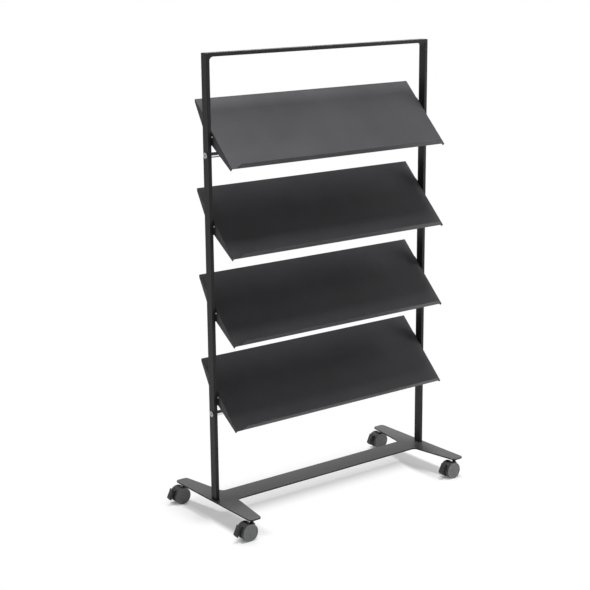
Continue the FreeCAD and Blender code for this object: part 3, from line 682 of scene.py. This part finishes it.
@dataclass
class Caster:
    """Twin-wheel caster: moulded wheels with a dished disc, and grip ribs on the pedal."""

    corner: Corner
    wheel_radius: float = 31.0 * MM
    inside: float = 9.0 * MM
    outside: float = 22.5 * MM
    disc_face: float = 21.7 * MM
    disc_inside: float = 18.7 * MM
    hub_inside: float = 8.75 * MM
    bore: float = 3.05 * MM
    hub_radius: float = 7.0 * MM
    rim_inside: float = 27.0 * MM
    tread_fade: tuple[float, float] = (1.0 * MM, 0.4 * MM)
    tread_inset: float = 0.8 * MM
    turns: int = 96
    trail: float = 20.3 * MM
    grip_head: tuple[float, float] = (-36.5 * MM, 31.5 * MM)
    grip_tip: tuple[float, float] = (-52.5 * MM, -1.5 * MM)
    grip_span: tuple[float, float] = (0.34, 0.86)
    grip_ribs: int = 5
    rib_half_width: float = 0.55 * MM
    rib_height: float = 0.5 * MM
    rib_half_length: float = 7.0 * MM
    rib_rows: int = 17
    rib_turns: int = 12

    def __post_init__(self) -> None:
        """Find the axle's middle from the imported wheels."""
        low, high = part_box(self.node("wheel_front"))
        rear_low, rear_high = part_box(self.node("wheel_rear"))
        self.axle = np.array([(low.x + high.x) / 2, (low.y + rear_high.y) / 2,
                              (low.z + high.z) / 2])

    def node(self, part: str) -> str:
        """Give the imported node's name for one of this caster's parts."""
        return f"{self.corner.value}_{part}"

    def stem(self) -> tuple[float, float]:
        """Give the stem's place in X and Y, which the axle trails."""
        return self.axle[0] + self.trail, self.axle[1]

    def wheel_outline(self) -> np.ndarray:
        """Work out the wheel's half section.

        It starts at the middle of the outer face and ends at the middle of the inner
        one: centre cap, groove, dished disc, rim lip, tread, hollow rim and hub.

        Returns:
            Rows of (place along the axle, radius).
        """
        face, radius = self.disc_face, self.wheel_radius
        rows = np.array([
            (face + 0.55 * MM, 0.0), (face + 0.45 * MM, 3.6 * MM), (face - 0.3 * MM, 4.6 * MM),
            (face - 0.35 * MM, 5.4 * MM), (face, 6.2 * MM), (face - 0.25 * MM, 15.0 * MM),
            (face, 26.2 * MM), (self.outside, 27.4 * MM), (self.outside, radius - 0.25 * MM),
            (self.outside - 1.9 * MM, radius), (0.5 * (self.inside + self.outside), radius),
            (self.inside + 0.9 * MM, radius), (self.inside, radius - 0.8 * MM),
            (self.inside, self.rim_inside), (self.disc_inside, self.rim_inside - 0.6 * MM),
            (self.disc_inside, self.hub_radius), (self.hub_inside, self.hub_radius),
            (self.hub_inside, self.bore), (self.disc_inside, self.bore),
            (self.disc_inside, 0.0),
        ])
        rounds = MM * np.array([0, 1.2, 0.4, 0.4, 0.5, 4, 0.5, 0.5, 1.2, 1.4, 3, 0.8, 0.6, 0.5,
                                1.2, 0.8, 0.3, 0.3, 0.3, 0])
        return soften(rows, rounds)

    def wheel(self, sign: float) -> Shell:
        """Work out a wheel.

        The outline (s, r) is turned through the angle a, which gives the points
        axle + (r cos a, sign s, r sin a). Points on the tread, whose r is close to the full
        radius and whose s is clear of the outer lip, are marked for the darker tone.

        Args:
            sign: -1 for the wheel nearer to the front, 1 for the other.

        Returns:
            The closed surface.
        """
        rows = self.wheel_outline()
        angle = np.linspace(0, 2 * np.pi, self.turns, endpoint=False)
        along, radius = rows[1:-1, 0][:, None], rows[1:-1, 1][:, None]
        grid = np.stack([
            self.axle[0] + radius * np.cos(angle) + 0 * along,
            self.axle[1] + sign * along + 0 * angle,
            self.axle[2] + radius * np.sin(angle) + 0 * along,
        ], axis=-1)
        count, turns = grid.shape[:2]
        poles = self.axle + np.array([[0, sign * rows[0, 0], 0], [0, sign * rows[-1, 0], 0]])
        points = np.concatenate([grid.reshape(-1, 3), poles])
        ring = np.arange(turns)
        after = (ring + 1) % turns
        last = (count - 1) * turns
        first_fan = np.stack([np.full(turns, count * turns), after, ring], axis=1)
        last_fan = np.stack([np.full(turns, count * turns + 1), last + ring, last + after], axis=1)
        faces = [grid_faces(count, turns, False, True), first_fan, last_fan]
        low, high = (self.wheel_radius - fade for fade in self.tread_fade)
        inside = along < self.outside - self.tread_inset
        on_tread = smooth_step(radius, low, high) * inside + 0 * angle
        tread = np.concatenate([on_tread.ravel(), [0.0, 0.0]])
        return Shell(points, faces, tread).outward()

    def grip(self) -> Shell:
        """Work out the ribs across the pedal's outer face.

        The face runs from the head H to the tip T in the plane of X and Z. Rib k stands at
        H + (T - H) t_k. Its section is the oval (w cos u, h sin u), along and square to the
        face, in which it is half sunk. With v from -1 to 1 along the rib, the oval shrinks
        towards both ends by the square root of 1 - v^8.

        Returns:
            The ribs as one surface.
        """
        head, tip = np.array(self.grip_head), np.array(self.grip_tip)
        slope = (tip - head) / np.linalg.norm(tip - head)
        out = np.array([slope[1], -slope[0]])
        turn = np.linspace(0, 2 * np.pi, self.rib_turns, endpoint=False)
        across = np.sin(np.linspace(-np.pi / 2, np.pi / 2, self.rib_rows))
        lean = np.sqrt(np.clip(1 - across ** 8, 0.003, 1))[:, None]
        along = self.rib_half_width * np.cos(turn)[None, :] * lean
        rise = self.rib_height * np.sin(turn)[None, :] * lean
        y = self.axle[1] + self.rib_half_length * across[:, None] + 0 * along
        sides = grid_faces(self.rib_rows, self.rib_turns, False, True)
        first_end = np.arange(self.rib_turns)[None, :]
        last_end = first_end[:, ::-1] + (self.rib_rows - 1) * self.rib_turns
        shells = []
        for share in np.linspace(*self.grip_span, self.grip_ribs):
            middle = head + (tip - head) * share
            x = self.axle[0] + middle[0] + along * slope[0] + rise * out[0]
            z = self.axle[2] + middle[1] + along * slope[1] + rise * out[1]
            points = np.stack([x, y, z], axis=-1).reshape(-1, 3)
            shells.append(Shell(points, [sides, first_end, last_end]).outward())
        return joined(shells)

    def build(self, finisher: Finisher) -> None:
        """Make the caster's own pieces and put them on their bodies.

        Args:
            finisher: gives the materials.
        """
        for side in WheelSide:
            place, sign = side.value
            name = self.node(f"wheel_{place}")
            wheel = make_piece(name + "_moulding", self.wheel(sign),
                               finisher.material("wheel_grey"))
            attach(wheel, self.node(f"{place}_wheel"))
            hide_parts(name)
        grip = make_piece(self.node("pedal_grip"), self.grip(), finisher.material("pedal_black"))
        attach(grip, self.node("pedal"))
        LOG.info("caster %s: two wheels and a pedal grip", self.corner.value)


# ---------------------------------------------------------------- base


@dataclass
class BushWelds:
    """Weld beads between the caster bushes and the underside of the base plate."""

    centres: tuple[tuple[float, float], ...]
    bush_radius: float = 7.0 * MM
    bead_radius: float = 1.3 * MM
    ripples: int = 22
    ripple_height: float = 0.22 * MM
    wander: float = 0.1
    plate_clear: float = 73.0 * MM
    offset: float = 0.2 * MM
    steps_round: int = 132
    steps_section: int = 10

    def bead(self, x: float, y: float, seed: int) -> Shell:
        """Work out one bead.

        The middle of the bead is the circle (x + R cos a, y + R sin a), one offset clear of
        the bush and of the plate. Its section is a circle of radius
        b + h |sin(n a / 2)| + w b sin(3 a + seed), where b is the bead's radius, h the
        ripples' height, n their number and w the wander.

        Args:
            x: the bush's place along X.
            y: the bush's place along Y.
            seed: turns the slow wander of the bead.

        Returns:
            The closed ring.
        """
        a = np.linspace(0, 2 * np.pi, self.steps_round, endpoint=False)[:, None]
        u = np.linspace(0, 2 * np.pi, self.steps_section, endpoint=False)[None, :]
        thick = (self.bead_radius + self.ripple_height * np.abs(np.sin(self.ripples * a / 2))
                 + self.wander * self.bead_radius * np.sin(3 * a + seed))
        reach = self.bush_radius + self.offset + thick * np.cos(u)
        points = np.stack([x + reach * np.cos(a), y + reach * np.sin(a),
                           self.plate_clear - self.offset + thick * np.sin(u)], axis=-1)
        faces = grid_faces(self.steps_round, self.steps_section, True, True)
        return Shell(points.reshape(-1, 3), [faces]).outward()

    def build(self, finisher: Finisher) -> None:
        """Make the four beads as one piece of the base.

        Args:
            finisher: gives the material.
        """
        beads = joined(self.bead(x, y, n) for n, (x, y) in enumerate(self.centres))
        piece = make_piece("bush_welds", beads, finisher.material("base_black"))
        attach(piece, "rack")
        LOG.info("bush welds: %d beads", len(self.centres))


# ---------------------------------------------------------------- studio


@dataclass(frozen=True)
class Softbox:
    """One large soft lamp: where it hangs, what it points at, its size and its watts."""

    name: str
    place: tuple[float, float, float]
    aim: tuple[float, float, float]
    width: float
    height: float
    power: float

    def hang(self) -> None:
        """Put the lamp into the scene, turned towards its aim."""
        lamp = bpy.data.lights.new(self.name, "AREA")
        lamp.shape = "RECTANGLE"
        lamp.size, lamp.size_y = self.width, self.height
        lamp.energy = self.power
        holder = bpy.data.objects.new(self.name, lamp)
        holder.location = self.place
        direction = Vector(self.aim) - Vector(self.place)
        holder.rotation_euler = direction.to_track_quat("-Z", "Y").to_euler()
        holder.visible_camera = False
        bpy.context.scene.collection.objects.link(holder)


@dataclass
class Studio:
    """White floor and surroundings with soft lamps.

    The keeps say how much of the floor's real shade shows at the beam, the feet and the
    wheels. The halves are the half sizes of rectangles on the floor, the shades the places
    of their middles, and the fades how far the shade reaches past them.
    """

    floor_radius: float = 9.0
    floor_sides: int = 128
    floor_tone: Colour = (0.98, 0.98, 0.98)
    mottle_size: float = 0.4
    beam_keep: float = 0.56
    foot_keep: float = 0.61
    contact_keep: float = 0.85
    wheel_middle: float = 4.1 * MM
    wheel_place: tuple[float, float] = (0.473, 0.2115)
    base_middle: float = 24.4 * MM
    beam_half: tuple[float, float] = (0.47, 0.05)
    beam_shade: float = 0.11
    beam_fade: float = 0.13
    foot_half: tuple[float, float] = (0.03, 0.20)
    foot_shade: float = 0.447
    foot_fade: float = 0.04
    touch_fade: tuple[float, float] = (0.015, 0.075)
    room_light: float = 0.15
    front_gloss: float = 0.20
    gloss_back: tuple[float, float] = (-0.35, 0.35)
    gloss_high: tuple[float, float] = (0.3, 0.7)
    lamps: tuple[Softbox, ...] = (
        Softbox("overhead_lamp", (0.5, -0.12, 7.0), (-0.4, -0.27, 0.5), 3.2, 1.3, 500.0),
        Softbox("right_lamp", (3.4, -2.4, 1.2), (0.0, 0.0, 0.7), 1.4, 1.8, 26.0),
        Softbox("side_lamp", (2.5, -1.0, 2.3), (0.3, 0.0, 0.8), 0.9, 0.9, 7.5),
        Softbox("back_lamp", (3.0, 4.0, 3.0), (0.4, 0.0, 0.3), 3.5, 1.5, 30.0),
    )

    def floor_material(self) -> bpy.types.Material:
        """Make a floor that shows white, but keeps the rack's shadow near its base.

        The white share grows with the distance from two kinds of rectangles on the floor:
        one behind the beam, where its shade falls, and one beside each foot's middle. Close
        to the points that the casters stand on, more of the shadow is kept.

        Returns:
            The finished material.
        """
        bench = Bench("studio_floor")
        mottle = bench.noise(self.mottle_size, 3.0)
        tone = bench.blend(mottle, self.floor_tone, tuple(0.99 * c for c in self.floor_tone))
        lit = bench.node("ShaderNodeBsdfDiffuse", {}, {"Color": tone})
        white = bench.node("ShaderNodeEmission", {}, {"Color": (1, 1, 1, 1), "Strength": 1.0})
        seen = self.seen_directly(bench)
        side, back = (bench.node("ShaderNodeSeparateXYZ", {}, {0: bench.place}, k) for k in "XY")
        x, y = (side - self.base_middle).size(), back.size()
        beam = self.gap(x, (back - self.beam_shade).size(), self.beam_half)
        beam = (1.0 - beam.spread(0.0, self.beam_fade)) * self.beam_keep
        feet = self.gap((x - self.foot_shade).size(), y, self.foot_half)
        feet = (1.0 - feet.spread(0.0, self.foot_fade)) * self.foot_keep
        out = (side - self.wheel_middle).size()
        outer = self.gap(out, y, self.wheel_place)
        inner = self.gap(self.wheel_place[0] - out, self.wheel_place[1] - y, (0.0, 0.0))
        touch = (1.0 - (outer + inner).spread(*self.touch_fade)) * self.contact_keep
        kept = beam.greater(feet.greater(touch))
        share = seen * (1.0 - kept)
        both = bench.node("ShaderNodeMixShader", {}, {0: share, 1: lit, 2: white})
        bench.node("ShaderNodeOutputMaterial", {}, {"Surface": both})
        return bench.material

    @staticmethod
    def gap(x: Wire, y: Wire, half: tuple[float, float]) -> Wire:
        """Give how far a point (x, y) is past a rectangle's upper right quarter."""
        over = [(v - h).greater(0.0) for v, h in zip((x, y), half)]
        return (over[0] * over[0] + over[1] * over[1]) ** 0.5

    @staticmethod
    def seen_directly(bench: Bench) -> Wire:
        """Give 1 to rays from the camera and to those that glossy or clear parts send on.

        Args:
            bench: the material that asks.

        Returns:
            1 or 0 as a wire.
        """
        kinds = ("Is Camera Ray", "Is Glossy Ray", "Is Transmission Ray")
        rays = [bench.node("ShaderNodeLightPath", {}, {}, kind) for kind in kinds]
        return (rays[0] + rays[1] + rays[2]).clamp()

    def build(self) -> None:
        """Lay the floor, hang the lamps and light the surroundings."""
        angle = np.linspace(0, 2 * np.pi, self.floor_sides, endpoint=False)
        rim = self.floor_radius * np.stack([np.cos(angle), np.sin(angle), 0 * angle], axis=1)
        shell = Shell(rim, [np.arange(self.floor_sides)[None, :]])
        floor = make_piece("studio_floor", shell, self.floor_material())
        for lamp in self.lamps:
            lamp.hang()
        self.room()
        bpy.context.scene.view_settings.view_transform = "Standard"
        LOG.info("studio: floor, room and %d lamps", len(self.lamps))

    def room(self) -> None:
        """Make the surroundings.

        They are white to the camera and behind clear parts. Glossy parts see them white at
        the back and low down, and dimmer in front and above. The rest of their light is
        the weak light of the room.
        """
        world = bpy.data.worlds.new("studio_room")
        world.use_nodes = True
        bpy.context.scene.world = world
        bench = Bench("studio_room", world)
        kinds = ("Is Camera Ray", "Is Transmission Ray")
        camera, clear = (bench.node("ShaderNodeLightPath", {}, {}, kind) for kind in kinds)
        gloss = bench.node("ShaderNodeLightPath", {}, {}, "Is Glossy Ray")
        toward = bench.node("ShaderNodeTexCoord", {}, {}, "Generated")
        back = bench.node("ShaderNodeSeparateXYZ", {}, {0: toward}, "Y").spread(*self.gloss_back)
        high = bench.node("ShaderNodeSeparateXYZ", {}, {0: toward}, "Z").spread(*self.gloss_high)
        low = 1.0 - high
        seen_gloss = gloss * (back * low * (1.0 - self.front_gloss) + self.front_gloss)
        seen = (camera + clear + seen_gloss).clamp()
        strength = (seen - self.room_light).clamp() + self.room_light
        sky = bench.node("ShaderNodeBackground", {}, {"Color": (1, 1, 1, 1), "Strength": strength})
        bench.node("ShaderNodeOutputWorld", {}, {"Surface": sky})


@dataclass(frozen=True)
class CameraStand:
    """The camera: where it aims, from which side and how far away, and its lens.

    The angles are in degrees, and the lens and the sensor in millimetres.
    """

    aim: tuple[float, float, float] = (-0.09564, 0.0, 0.76356)
    azimuth: float = 36.984
    elevation: float = 14.028
    roll: float = 0.5012
    distance: float = 5.0695
    lens: float = 86.74
    sensor: float = 36.0
    nearest: float = 0.05
    farthest: float = 200.0

    def build(self) -> None:
        """Make the camera and use it."""
        az, el, roll = (math.radians(v) for v in (self.azimuth, self.elevation, self.roll))
        ahead = Vector((math.sin(az) * math.cos(el), math.cos(az) * math.cos(el), -math.sin(el)))
        level = Vector((math.cos(az), -math.sin(az), 0.0))
        upright = level.cross(ahead)
        right = level * math.cos(roll) - upright * math.sin(roll)
        up = level * math.sin(roll) + upright * math.cos(roll)
        data = bpy.data.cameras.new("studio_camera")
        data.lens, data.sensor_width = self.lens, self.sensor
        data.clip_start, data.clip_end = self.nearest, self.farthest
        camera = bpy.data.objects.new("studio_camera", data)
        turn = Matrix((right, up, -ahead)).transposed().to_4x4()
        camera.matrix_world = Matrix.Translation(Vector(self.aim) - ahead * self.distance) @ turn
        bpy.context.scene.collection.objects.link(camera)
        bpy.context.scene.camera = camera


# ---------------------------------------------------------------- whole rack


def main() -> None:
    """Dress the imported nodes, add the rack's finer pieces, and set up the studio."""
    logging.basicConfig(level=logging.INFO, format="%(message)s")
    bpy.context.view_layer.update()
    finisher = Finisher(frame["record"])
    for node in sorted(frame["nodes"]):
        finisher.dress(node)
    LOG.info("finishes: %d nodes", len(frame["nodes"]))
    casters = [Caster(corner) for corner in Corner]
    for caster in casters:
        caster.build(finisher)
    BushWelds(tuple(caster.stem() for caster in casters)).build(finisher)
    Studio().build()
    CameraStand().build()


if __name__ == "__main__":
    main()
